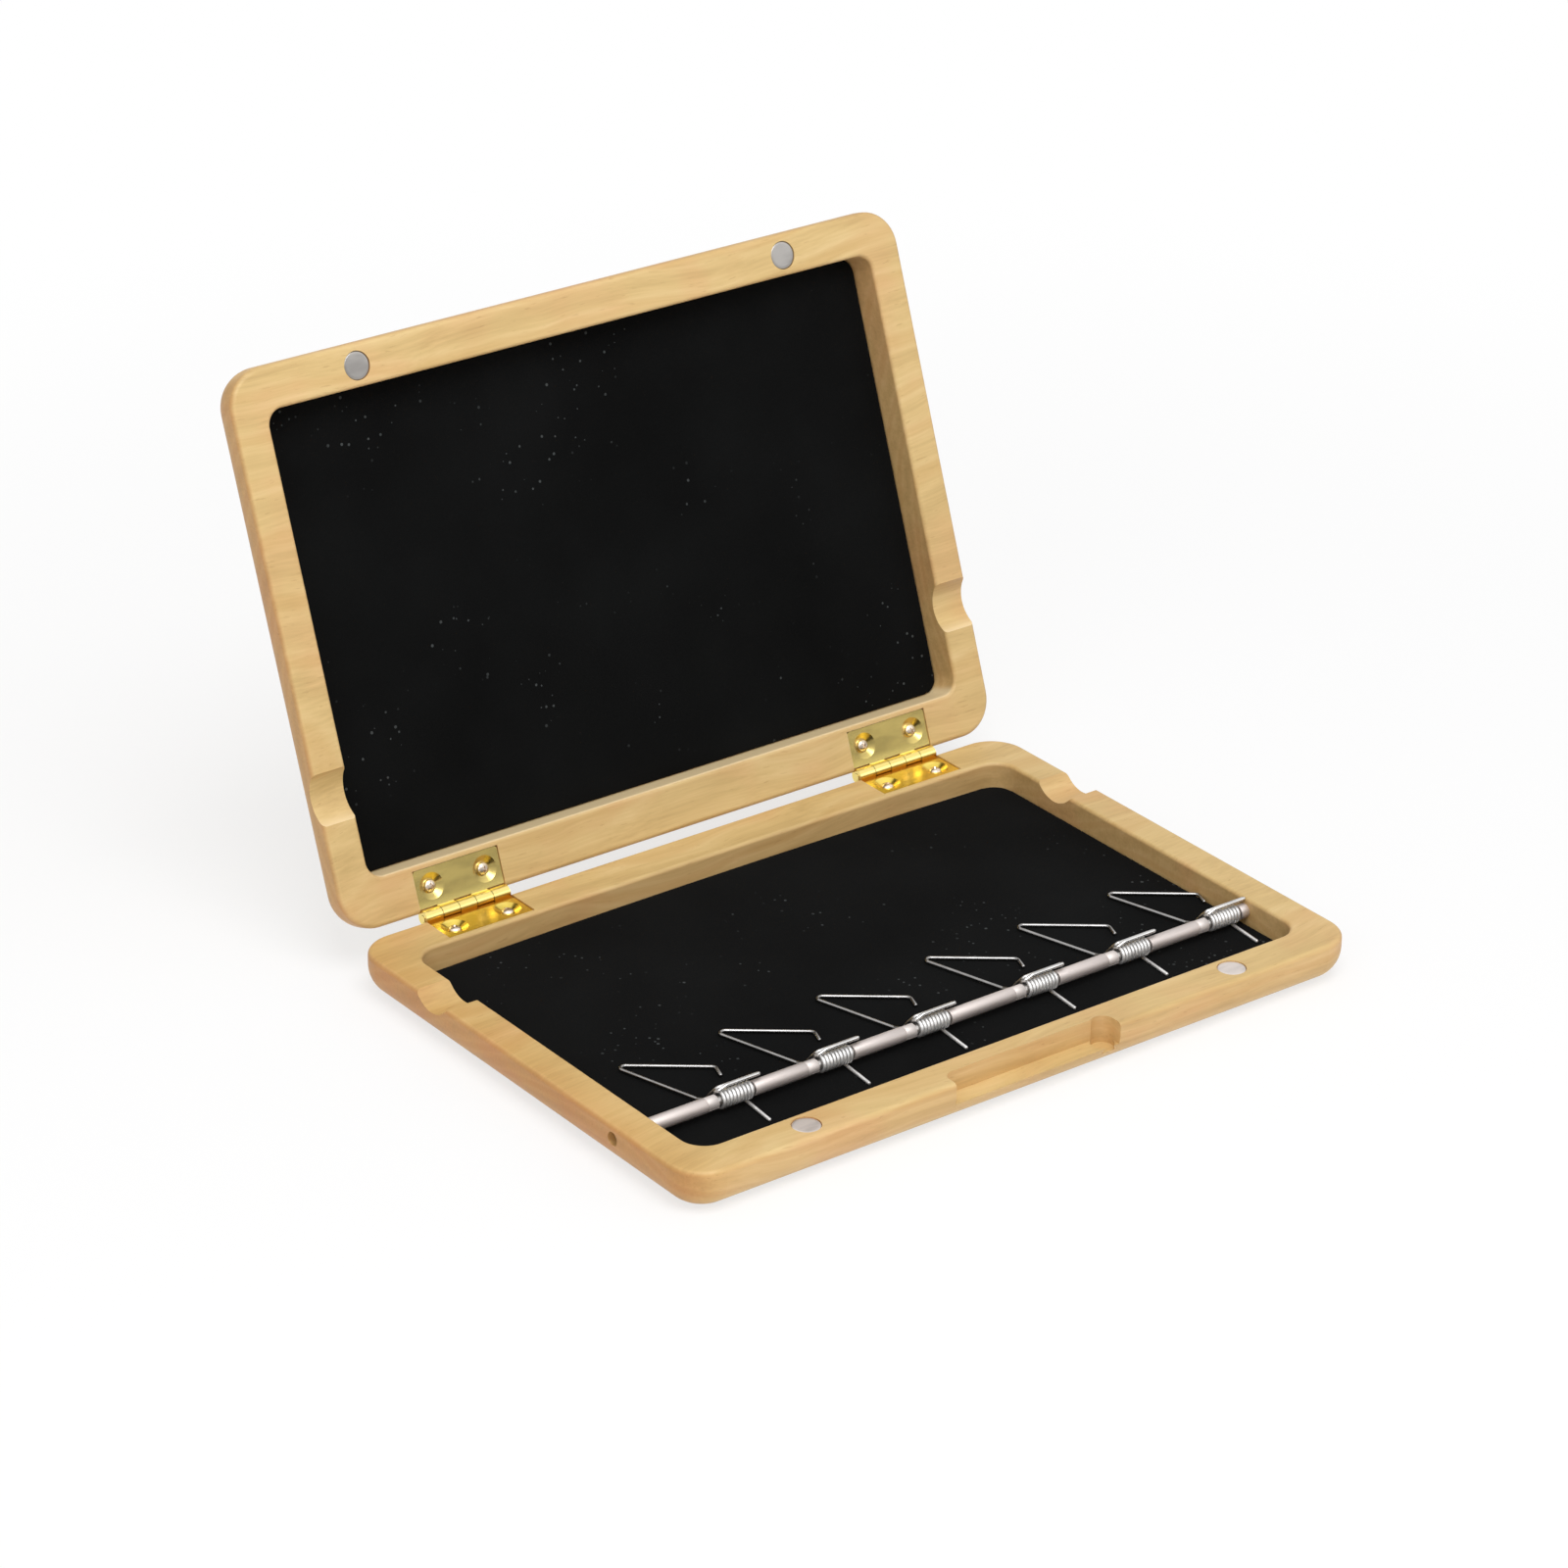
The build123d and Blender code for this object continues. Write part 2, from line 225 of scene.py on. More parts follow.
def maple(name, opened, offset):
    """Satin lacquered maple: soft figure, fine fibres, short dark flecks, darker end grain,
    painted shade and light.
    """
    material, tree, shader = shader_of(name)
    place = board_place(tree, opened, offset)

    drift = step(tree, "TexNoise", Vector=place, Scale=0.018, Detail=2.0)
    lean = step(tree, "VectorMath", {"operation": "SCALE"}, Scale=14.0)
    put_in(lean.inputs[0], drift.outputs["Color"])
    bowed = step(tree, "VectorMath", {"operation": "ADD"})
    put_in(bowed.inputs[0], place)
    put_in(bowed.inputs[1], lean)

    ring_place = step(tree, "Mapping", Vector=bowed, Scale=(0.07, 1, 1.6))
    rings = step(tree, "TexWave", {"wave_type": "RINGS", "rings_direction": "X"},
                 Vector=ring_place, Scale=0.045, Distortion=2.2, Detail=2.0, Detail_Scale=0.35)
    streak_place = step(tree, "Mapping", Vector=bowed, Scale=(0.022, 0.42, 0.5))
    streaks = step(tree, "TexNoise", Vector=streak_place, Scale=1.0, Detail=3.0, Roughness=0.55)
    fibre_place = step(tree, "Mapping", Vector=bowed, Scale=(0.035, 1.0, 1.0))
    fibres = step(tree, "TexNoise", Vector=fibre_place, Scale=1.7, Detail=6.0, Roughness=0.62)
    fleck_place = step(tree, "Mapping", Vector=bowed, Scale=(0.3, 2.6, 2.6))
    flecks = step(tree, "TexNoise", Vector=fleck_place, Scale=0.9, Detail=2.0)
    cloud = step(tree, "TexNoise", Vector=place, Scale=0.04, Detail=3.0)

    tone = sum_of(tree, "MULTIPLY_ADD", rings.outputs["Fac"], 0.2, -0.37)
    tone = sum_of(tree, "MULTIPLY_ADD", streaks.outputs["Fac"], 0.56, tone)
    tone = sum_of(tree, "MULTIPLY_ADD", fibres.outputs["Fac"], 0.56, tone)
    tone = sum_of(tree, "MULTIPLY_ADD", cloud.outputs["Fac"], 0.42, tone)
    ramp = step(tree, "ValToRGB", Fac=tone)
    ramp.color_ramp.elements[0].position = 0.14
    ramp.color_ramp.elements[0].color = dark_grain
    ramp.color_ramp.elements[1].position = 0.86
    ramp.color_ramp.elements[1].color = pale_grain
    middle = ramp.color_ramp.elements.new(0.5)
    middle.color = middle_grain

    fleck_share = sum_of(tree, "MULTIPLY", window(tree, flecks.outputs["Fac"], 0.64, 0.76), 0.38)
    wood = tinted(tree, "MULTIPLY", fleck_share, ramp.outputs["Color"], fleck_brown)
    growth = sum_of(tree, "MULTIPLY", window(tree, rings.outputs["Fac"], 0.7, 1.0), 0.55)
    wood = tinted(tree, "MULTIPLY", growth, wood, ring_brown)
    blush = step(tree, "TexNoise", Vector=bowed, Scale=0.06, Detail=2.0)
    wood = tinted(tree, "MULTIPLY", window(tree, blush.outputs["Fac"], 0.46, 0.66), wood,
                  blush_pink)

    facing = step(tree, "TexCoord").outputs["Normal"]
    turned = step(tree, "Mapping", {"vector_type": "NORMAL"}, Vector=facing,
                  Rotation=(lid_angle, 0, 0) if opened else (0, 0, 0))
    parts = step(tree, "SeparateXYZ", Vector=turned)
    level = sum_of(tree, "ABSOLUTE", parts.outputs["Z"])
    across = step(tree, "SeparateXYZ", Vector=step(tree, "TexCoord").outputs["Object"])
    outward = sum_of(tree, "MULTIPLY", sum_of(tree, "SIGN", across.outputs["X"]),
                     parts.outputs["X"])
    # Upright faces are painted darker and warmer, as painted shade on the sides.
    upright = sum_of(tree, "SUBTRACT", 1.0, window(tree, level, 0.25, 0.95))
    wood = tinted(tree, "MULTIPLY", upright, wood, side_painted_shade)
    end_share = sum_of(tree, "MULTIPLY", window(tree, outward, 0.25, 0.95),
                       sum_of(tree, "MULTIPLY_ADD", streaks.outputs["Fac"], 0.9, 0.3))
    wood = tinted(tree, "MULTIPLY", end_share, wood, end_grain_brown)
    if opened:
        # The lid's ledge by the hinges is painted paler, as painted light where it lies in shade.
        frontward = sum_of(tree, "MULTIPLY", parts.outputs["Y"], -1)
        near_pin = step(tree, "SeparateXYZ", Vector=place).outputs["Y"]
        painted_ledge_light = sum_of(tree, "MULTIPLY", window(tree, frontward, 0.5, 0.95),
                       window(tree, near_pin, ledge_start, ledge_full))
        wood = tinted(tree, "MIX", painted_ledge_light, wood, ledge_painted_light)
    else:
        # The base's left end is painted darker, as painted shade on the side away from the lamps.
        left_end = window(tree, sum_of(tree, "MULTIPLY", across.outputs["X"], -1000),
                          left_end_start, left_end_full)
        wood = tinted(tree, "MULTIPLY", left_end, wood, left_end_painted_shade)
        # Round the rod's line the wood is painted near black, as painted shade in the rod's hole.
        forward = sum_of(tree, "SUBTRACT", across.outputs["Y"], rod_y / 1000)
        upward = sum_of(tree, "SUBTRACT", across.outputs["Z"], rod_z / 1000)
        painted_hole_shade = sum_of(tree, "LESS_THAN", apart(tree, forward, upward), rod_hole_radius / 1000)
        wood = tinted(tree, "MIX", painted_hole_shade, wood, rod_hole_painted_shade)
    put_in(shader.inputs["Base Color"], wood)

    put_in(shader.inputs["Roughness"],
           sum_of(tree, "MULTIPLY_ADD", fibres.outputs["Fac"], 0.22, 0.38))
    shader.inputs["Specular IOR Level"].default_value = 0.4
    shader.inputs["Coat Weight"].default_value = 0.1
    shader.inputs["Coat Roughness"].default_value = 0.34
    relief = step(tree, "Bump", Strength=0.22, Distance=0.00003, Height=fibres.outputs["Fac"])
    put_in(shader.inputs["Normal"], relief)
    return material


def cover(node, material):
    """Give a solid of the case its finish."""
    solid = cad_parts[node]
    solid.data.materials.clear()
    solid.data.materials.append(material)


cover("base_tray", maple("base_maple", False, (14, 11, 33)))
cover("lid_shell", maple("lid_maple", True, (63, 21, 14)))


# Each pocket is lined with black velvet glued over a thin board, with the nap
# standing and the cloth rolled down over the board's edge. What belongs to the
# lid is drawn as if it lay in the base, and is then turned over and opened.
lining_half_length = 64.2
lining_front = -41.3
lining_back = 40.4
cloth_roll = 0.7
cloth_wave = 0.05
cloth_black = (0.0035, 0.0036, 0.0036, 1)
brushed_black = (0.0065, 0.0068, 0.0068, 1)
lint_grey = (0.075, 0.082, 0.082, 1)
nap_sheen = (0.8, 0.8, 0.85, 1)
shut_height = 0.016
open_lid = (Matrix.Translation(pin_line) @ Matrix.Rotation(-lid_angle, 4, "X")
            @ Matrix.Translation(-pin_line))
turn_over = Matrix.Translation((0, 0, shut_height)) @ Matrix.Diagonal((1, 1, -1, 1))
set_in = {"base": Matrix(), "lid": open_lid @ turn_over}


def velvet():
    """Black cotton velvet with a matt nap, faint brushed patches and caught lint."""
    material, tree, shader = shader_of("black_velvet")
    place = step(tree, "Mapping", Vector=step(tree, "TexCoord").outputs["Object"],
                 Scale=(1000, 1000, 1000))
    nap = step(tree, "TexNoise", Vector=place, Scale=5.0, Detail=3.0)
    patches = step(tree, "TexNoise", Vector=place, Scale=0.035, Detail=3.0)
    crowd = step(tree, "TexNoise", Vector=place, Scale=0.055, Detail=2.0)
    lint = step(tree, "TexVoronoi", Vector=place, Scale=0.75, Randomness=1.0)
    picked = step(tree, "SeparateColor", Color=lint.outputs["Color"])
    chosen = sum_of(tree, "GREATER_THAN", picked.outputs[0], 0.5)
    small = sum_of(tree, "LESS_THAN", lint.outputs["Distance"],
                   sum_of(tree, "MULTIPLY_ADD", picked.outputs[1], 0.17, 0.05))
    speck = sum_of(tree, "MULTIPLY", sum_of(tree, "MULTIPLY", chosen, small),
                   window(tree, crowd.outputs["Fac"], 0.52, 0.64))
    cloth = step(tree, "ValToRGB", Fac=patches.outputs["Fac"])
    cloth.color_ramp.elements[0].position = 0.3
    cloth.color_ramp.elements[0].color = cloth_black
    cloth.color_ramp.elements[1].position = 0.75
    cloth.color_ramp.elements[1].color = brushed_black
    linted = tinted(tree, "MIX", sum_of(tree, "MULTIPLY", speck, 0.7),
                    cloth.outputs["Color"], lint_grey)
    put_in(shader.inputs["Base Color"], linted)
    shader.inputs["Roughness"].default_value = 1.0
    shader.inputs["Specular IOR Level"].default_value = 0.04
    shader.inputs["Sheen Weight"].default_value = 0.02
    shader.inputs["Sheen Roughness"].default_value = 0.5
    shader.inputs["Sheen Tint"].default_value = nap_sheen
    relief = step(tree, "Bump", Strength=0.5, Distance=0.0001, Height=nap.outputs["Fac"])
    put_in(shader.inputs["Normal"], relief)
    return material


def loose(name, mesh):
    """A finished mesh as an object in the scene. The mesh is used up."""
    shape = bpy.data.meshes.new(name)
    mesh.to_mesh(shape)
    mesh.free()
    thing = bpy.data.objects.new(name, shape)
    bpy.context.scene.collection.objects.link(thing)
    return thing


def made_piece(name, mesh, material, crease=None):
    """A piece with its finish, smooth but for edges that turn more than its crease."""
    piece = loose(name, mesh)
    shape = piece.data
    shape.materials.append(material)
    shape.polygons.foreach_set("use_smooth", [True] * len(shape.polygons))
    # A mesh cut from one of the solids still carries the solid's own shading.
    if "custom_normal" in shape.attributes:
        shape.attributes.remove(shape.attributes["custom_normal"])
    if crease is not None:
        shape.set_sharp_from_angle(angle=math.radians(crease))
    return piece


def lines_across(low, high, corner, count):
    """Grid lines across a lining, close together at its rim and round its corners."""
    rim = [0, 0.06, 0.14, 0.25, 0.4, 0.6]
    side = [corner * share for share in rim] + [corner]
    middle = [low + corner + (high - low - 2 * corner) * i / count for i in range(1, count)]
    return [low + a for a in side] + middle + [high - a for a in reversed(side)]


def lining_point(x, y, corner):
    """A grid point drawn in to the round corner that it lies in."""
    core_x = max(-lining_half_length + corner, min(lining_half_length - corner, x))
    core_y = max(lining_front + corner, min(lining_back - corner, y))
    out = Vector((x - core_x, y - core_y))
    if abs(out.x) > 0 and abs(out.y) > 0:
        out = out.normalized() * max(abs(out.x), abs(out.y))
    return core_x + out.x, core_y + out.y, corner - out.length if out.length > 0 else corner


def velvet_board(floor, thickness, corner, bow, seed):
    """A lining in millimetres: a thin board whose cloth rolls over its edge. Its back bows up."""
    mesh = bmesh.new()
    rows = []
    for y in lines_across(lining_front, lining_back, corner, 40):
        row = []
        for x in lines_across(-lining_half_length, lining_half_length, corner, 60):
            px, py, inward = lining_point(x, y, corner)
            share = max(0, min(1, inward / cloth_roll))
            rolled = cloth_roll * (1 - math.sqrt(1 - (1 - share) ** 2))
            wave = cloth_wave * noise.noise(Vector((px / 16 + seed, py / 11, seed)))
            back = max(0, py) / lining_back
            lift = bow * (1 - (px / lining_half_length) ** 2) * back * back * (3 - 2 * back)
            height = floor + thickness - cloth_wave - rolled + wave * share + lift
            row.append(mesh.verts.new(Vector((px, py, height)) / 1000))
        rows.append(row)
    for low, high in zip(rows, rows[1:]):
        for a, b, c, d in zip(low, low[1:], high[1:], high):
            mesh.faces.new((a, b, c, d))
    rim = rows[0] + [row[-1] for row in rows[1:]] + rows[-1][-2::-1]
    rim += [row[0] for row in rows[-2:0:-1]]
    foot = [mesh.verts.new((v.co.x, v.co.y, floor / 1000)) for v in rim]
    for i, (a, b) in enumerate(zip(rim, foot)):
        after = (i + 1) % len(rim)
        mesh.faces.new((a, b, foot[after], rim[after]))
    mesh.faces.new(foot[::-1])
    bmesh.ops.recalc_face_normals(mesh, faces=mesh.faces)
    return mesh


black_velvet = velvet()
base_mesh = velvet_board(floor=2.0, thickness=1.4, corner=4.3, bow=0.7, seed=3.0)
base_cloth = made_piece("base_velvet", base_mesh, black_velvet)
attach(base_cloth, "base")
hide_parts("base_lining")

lid_mesh = velvet_board(floor=1.5, thickness=0.8, corner=2.9, bow=0, seed=8.0)
bmesh.ops.transform(lid_mesh, matrix=set_in["lid"], verts=lid_mesh.verts)
bmesh.ops.recalc_face_normals(lid_mesh, faces=lid_mesh.faces)
lid_cloth = made_piece("lid_velvet", lid_mesh, black_velvet)
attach(lid_cloth, "lid")
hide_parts("lid_lining")


# The hinges are small rolled brass butts, polished and lacquered, with a drawn
# brass pin through five knuckles. Each leaf is dished wide round its screws.
# Their knuckles carry a painted reflection with a painted shade line beside
# them, and the lid's leaves are painted darker as painted shade.
base_brass = (1.0, 0.75, 0.15)
# The lid's leaves take a darker copy of the same brass, as painted shade.
lid_brass_painted_shade = (0.76, 0.59, 0.20)
knuckle_painted_reflection = (1.0, 0.80, 0.27, 1)
gap_painted_shade = (0.50, 0.33, 0.14, 1)
knuckle_reach = 0.0016
screw_xs = {"left": (-52.7, -41.7), "right": (41.7, 52.7)}
screw_y = 44.84
dish_outline = [(0, 8.1), (2.97, 8.1), (0.99, 7.05), (0, 7.05)]


def bright_metal(name, colour, dull, rub, along, metallic=1.0):
    """A polished or satin metal with fine rubbing marks along one direction."""
    material, tree, shader = shader_of(name)
    place = step(tree, "Mapping", Vector=step(tree, "TexCoord").outputs["Object"],
                 Scale=[1000 * a for a in along])
    marks = step(tree, "TexNoise", Vector=place, Scale=3.0, Detail=4.0, Roughness=0.6)
    smears = step(tree, "TexNoise", Vector=place, Scale=0.35, Detail=3.0)
    worn = window(tree, smears.outputs["Fac"], 0.35, 0.65)
    tint = tinted(tree, "MIX", worn, (*[c * 0.78 for c in colour], 1), (*colour, 1))
    put_in(shader.inputs["Base Color"], tint)
    shader.inputs["Metallic"].default_value = metallic
    put_in(shader.inputs["Roughness"],
           sum_of(tree, "MULTIPLY_ADD", marks.outputs["Fac"], dull * 0.5, dull * 0.75))
    relief = step(tree, "Bump", Strength=rub, Distance=0.00002, Height=marks.outputs["Fac"])
    put_in(shader.inputs["Normal"], relief)
    return material


def rolled_brass(name, plate):
    """Lacquered brass, with a painted reflection on its knuckles and a painted shade line where
    leaf and knuckle meet.
    """
    material = bright_metal(name, plate, 0.23, 0.15, (0.3, 1, 1))
    tree = material.node_tree
    surface = tree.nodes["Principled BSDF"].inputs["Base Color"]
    place = step(tree, "SeparateXYZ", Vector=step(tree, "TexCoord").outputs["Object"])
    behind = sum_of(tree, "SUBTRACT", place.outputs["Y"], pin_line.y)
    over = sum_of(tree, "SUBTRACT", place.outputs["Z"], pin_line.z)
    from_pin = apart(tree, behind, over)
    # Near the pin the brass is painted brighter, as a painted reflection on the knuckles.
    plain = window(tree, from_pin, 0.0014, 0.0034)
    knuckle_painted_gleam = tinted(tree, "MIX", plain, knuckle_painted_reflection, surface.links[0].from_socket)
    # In front of and under the knuckles the leaf is painted darker, as painted shade in the gap
    # beneath them.
    in_front = window(tree, sum_of(tree, "MULTIPLY", behind, -1), 0.0003, 0.0009)
    low = sum_of(tree, "SUBTRACT", 1.0, window(tree, over, 0.00025, 0.00075))
    beside = sum_of(tree, "SUBTRACT", 1.0, window(tree, from_pin, 0.0019, 0.0028))
    painted_gap_shade = sum_of(tree, "MULTIPLY", in_front, sum_of(tree, "MULTIPLY", low, beside))
    put_in(surface, tinted(tree, "MULTIPLY", painted_gap_shade, knuckle_painted_gleam, gap_painted_shade))
    return material


def turned(outline, sides, closed=False):
    """A lathe-turned shape in millimetres: an outline of radius and height, spun about Z."""
    mesh = bmesh.new()
    rings = []
    for radius, height in outline:
        if radius == 0:
            rings.append([mesh.verts.new((0, 0, height / 1000))] * sides)
            continue
        angles = [2 * math.pi * i / sides for i in range(sides)]
        rings.append([mesh.verts.new(Vector((radius * math.cos(a), radius * math.sin(a),
                                             height)) / 1000) for a in angles])
    pairs = list(zip(rings, rings[1:])) + ([(rings[-1], rings[0])] if closed else [])
    for low, high in pairs:
        for i in range(sides):
            after = (i + 1) % sides
            corners = [low[i], low[after], high[after], high[i]]
            mesh.faces.new(list(dict.fromkeys(corners)))
    bmesh.ops.recalc_face_normals(mesh, faces=mesh.faces)
    return mesh


def set_down(mesh, half, x, y, turn=0.0):
    """Move a mesh that stands on the case's middle to its place in base or lid."""
    place = (Matrix.Translation(Vector((x, y, 0)) / 1000)
             @ Matrix.Rotation(math.radians(turn), 4, "Z"))
    bmesh.ops.transform(mesh, matrix=set_in[half] @ place, verts=mesh.verts)
    if half == "lid":
        bmesh.ops.reverse_faces(mesh, faces=mesh.faces)


def cut(blank, cutter):
    """The mesh of one object with another taken out of it. Both objects are used up."""
    taking = blank.modifiers.new("cut", "BOOLEAN")
    taking.operation = "DIFFERENCE"
    taking.solver = "EXACT"
    taking.use_self = True
    taking.object = cutter
    view = bpy.context.evaluated_depsgraph_get()
    result = bpy.data.meshes.new_from_object(blank.evaluated_get(view))
    for thing in (blank, cutter):
        bpy.data.objects.remove(thing)
    return result


def dished(leaf, half, xs):
    """The mesh of a hinge leaf, with a wide dish cut round each of its screws."""
    mesh = bmesh.new()
    mesh.from_mesh(leaf.data)
    bmesh.ops.transform(mesh, matrix=leaf.matrix_world, verts=mesh.verts)
    bmesh.ops.remove_doubles(mesh, verts=mesh.verts, dist=1e-7)
    for x in xs:
        dish = turned(dish_outline, 48)
        set_down(dish, half, x, screw_y)
        shape = cut(loose("leaf_blank", mesh), loose("leaf_dish", dish))
        mesh = bmesh.new()
        mesh.from_mesh(shape)
    return mesh


brass = {"base": rolled_brass("base_brass", base_brass),
         "lid": rolled_brass("lid_brass_painted_shade", lid_brass_painted_shade)}
for side, xs in screw_xs.items():
    cover(side + "_hinge_pin", brass["base"])
    for half in ("base", "lid"):
        leaf = side + "_hinge_" + half + "_leaf"
        plate = made_piece(side + "_" + half + "_dished_leaf",
                           dished(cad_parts[leaf], half, xs),
                           brass[half], crease=25)
        # The plate stays flat in the light, and only its rolled knuckles are smooth.
        up = set_in[half].to_3x3() @ Vector((0, 0, 1))
        for face in plate.data.polygons:
            off_pin = (face.center - pin_line).yz.length > knuckle_reach
            face.use_smooth = not (off_pin and abs(face.normal.dot(up)) > 0.999)
        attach(plate, half)
        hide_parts(leaf)


# Small plated brass screws with domed heads and a cross recess hold the leaves,
# two in each. Their heads sit down in the dishes of the leaves, and each was
# driven home to an angle of its own.
screw_outline = [(0, 7.78), (0.3, 7.765), (0.55, 7.71), (0.8, 7.61), (0.98, 7.49),
                 (1.1, 7.36), (1.13, 7.15), (0.83, 7.0),
                 (0.8, 6.95), (0.8, 2.6), (0.3, 1.95), (0, 1.9)]
driver_blade = {"high": (0.85, 0.18, 8.2), "low": (0.3, 0.11, 7.4)}


def cross_cutter():
    """The driver's tip that leaves the cross in a screw head, in millimetres."""
    mesh = bmesh.new()
    for turn in (0, 90):
        spin = Matrix.Rotation(math.radians(turn), 4, "Z")
        high, low = [[mesh.verts.new(spin @ Vector((a * long, b * wide, level)) / 1000)
                      for a, b in ((-1, -1), (1, -1), (1, 1), (-1, 1))]
                     for long, wide, level in driver_blade.values()]
        mesh.faces.new(high)
        mesh.faces.new(low[::-1])
        for i in range(4):
            after = (i + 1) % 4
            mesh.faces.new((high[after], high[i], low[i], low[after]))
    return mesh


turned_brass = bright_metal("turned_brass", (0.87, 0.74, 0.60), 0.26, 0.15, (1, 1, 1))
crossed_screw = cut(loose("screw_blank", turned(screw_outline, 40)),
                    loose("screw_cross", cross_cutter()))
for side, xs in screw_xs.items():
    for half in ("base", "lid"):
        pair = bmesh.new()
        for number, x in enumerate(xs):
            screw = bmesh.new()
            screw.from_mesh(crossed_screw)
            driven = 23 + 31 * number + 17 * (half == "lid") + 40 * (side == "left")
            set_down(screw, half, x, screw_y, driven)
            carried = bpy.data.meshes.new("carried")
            screw.to_mesh(carried)
            screw.free()
            pair.from_mesh(carried)
            bpy.data.meshes.remove(carried)
        screws = made_piece(side + "_" + half + "_screws", pair, turned_brass,
                            crease=35)
        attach(screws, half)
        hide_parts(side + "_" + half + "_leaf_screws")


# Two nickel-plated disc magnets sit in the front edge of the base and two in
# the lid's, glued a hair below the wood, with a fine chamfer round each.
# The base's are painted paler as painted light and the lid's darker as painted
# shade, though all four are the same nickel.
magnet_xs = {"left": -45.4, "right": 45.4}
magnet_y = -45.1
magnet_outline = [(0, 7.9), (1.9, 7.9), (2.3, 7.895), (2.42, 7.86), (2.49, 7.78),
                  (2.5, 7.7), (2.5, 6.1), (2.35, 5.9), (0, 5.9)]
# The base's nickel is painted paler as painted light, the lid's darker as painted shade.
nickel = {"base": bright_metal("base_nickel_painted_light", (0.86, 0.78, 0.73), 0.36, 0.4, (0.35, 1, 1)),
          "lid": bright_metal("lid_nickel_painted_shade", (0.44, 0.42, 0.40), 0.36, 0.4, (0.35, 1, 1))}
for side, x in magnet_xs.items():
    for half in ("base", "lid"):
        disc = turned(magnet_outline, 56)
        set_down(disc, half, x, magnet_y)
        magnet = made_piece(side + "_" + half + "_magnet_disc", disc, nickel[half],
                            crease=40)
        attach(magnet, half)
        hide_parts(side + "_" + half + "_magnet")


# A drawn steel rod runs from wall to wall of the base. Thin satin tubes on it,
# with burnished rolled ends, keep the clips apart.
pocket_half = 64.3
coil_starts = (-49.5, -29.0, -8.5, 15.0, 35.5, 56.0)
coil_length = 6.375
tube_gap = 0.2
tube_radius = 1.3
tube_bore = 0.95
tube_roll = 0.14
collar_length = 2.9
rod_place = (Matrix.Translation(Vector((0, rod_y, rod_z)) / 1000)
             @ Matrix.Rotation(math.radians(90), 4, "Y"))


def tube(start, end):
    """A thin tube on the rod with rolled ends, in millimetres."""
    ease = tube_roll * 0.3
    outline = [(tube_bore, start + tube_roll), (tube_bore + ease, start),
               (tube_radius - tube_roll, start), (tube_radius - ease, start + ease),
               (tube_radius, start + tube_roll), (tube_radius, end - tube_roll),
               (tube_radius - ease, end - ease), (tube_radius - tube_roll, end),
               (tube_bore + ease, end), (tube_bore, end - tube_roll)]
    mesh = turned(outline, 48, closed=True)
    bmesh.ops.transform(mesh, matrix=rod_place, verts=mesh.verts)
    return mesh


cover("clip_rod", bright_metal("drawn_steel", (0.55, 0.53, 0.51), 0.3, 0.1, (0.1, 1, 1)))
tube_steel = bright_metal("tube_steel", (0.72, 0.65, 0.62), 0.55, 0.25, (0.12, 1, 1), 0.7)
tube_starts = [-pocket_half] + [start + coil_length + tube_gap for start in coil_starts]
tube_ends = [start - tube_gap - collar_length for start in coil_starts] + [pocket_half]
for number, (start, end) in enumerate(zip(tube_starts, tube_ends), 1):
    spacer = made_piece("spacer_tube_" + str(number), tube(start, end), tube_steel,
                        crease=50)
    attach(spacer, "base")
    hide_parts("rod_spacer_" + str(number))


# A short collar of satin steel sheet, rolled round the rod with an open seam,
# sits at the left end of each coil and carries the bar clear of the next tube.
collar_radius = 1.25
collar_bore = 0.97
collar_ease = 0.1
collar_room = 0.65
seam_width = math.radians(10)
seam_middle = math.radians(205)


def collar(start, end):
    """A rolled collar in millimetres, open along its seam."""
    radius, bore, ease = collar_radius, collar_bore, collar_ease
    section = [(bore, start + ease), (bore + ease, start), (radius - ease, start),
               (radius, start + ease), (radius, end - ease), (radius - ease, end),
               (bore + ease, end), (bore, end - ease)]
    mesh = bmesh.new()
    rings = []
    count = 44
    for i in range(count + 1):
        angle = seam_middle + seam_width / 2 + (2 * math.pi - seam_width) * i / count
        rings.append([mesh.verts.new(Vector((x, rod_y + r * math.cos(angle),
                                             rod_z + r * math.sin(angle))) / 1000)
                      for r, x in section])
    for low, high in zip(rings, rings[1:]):
        for i in range(len(section)):
            after = (i + 1) % len(section)
            mesh.faces.new((low[i], low[after], high[after], high[i]))
    mesh.faces.new(rings[0])
    mesh.faces.new(rings[-1][::-1])
    bmesh.ops.recalc_face_normals(mesh, faces=mesh.faces)
    return mesh


collar_steel = bright_metal("collar_steel", (0.78, 0.72, 0.69), 0.6, 0.2, (0.2, 1, 1), 0.7)
for number, start in enumerate(coil_starts, 1):
    mesh = collar(start - tube_gap - collar_length, start - tube_gap - collar_room)
    seamed = made_piece("seamed_collar_" + str(number), mesh, collar_steel,
                        crease=50)
    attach(seamed, "base")
    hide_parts("rod_collar_" + str(number))


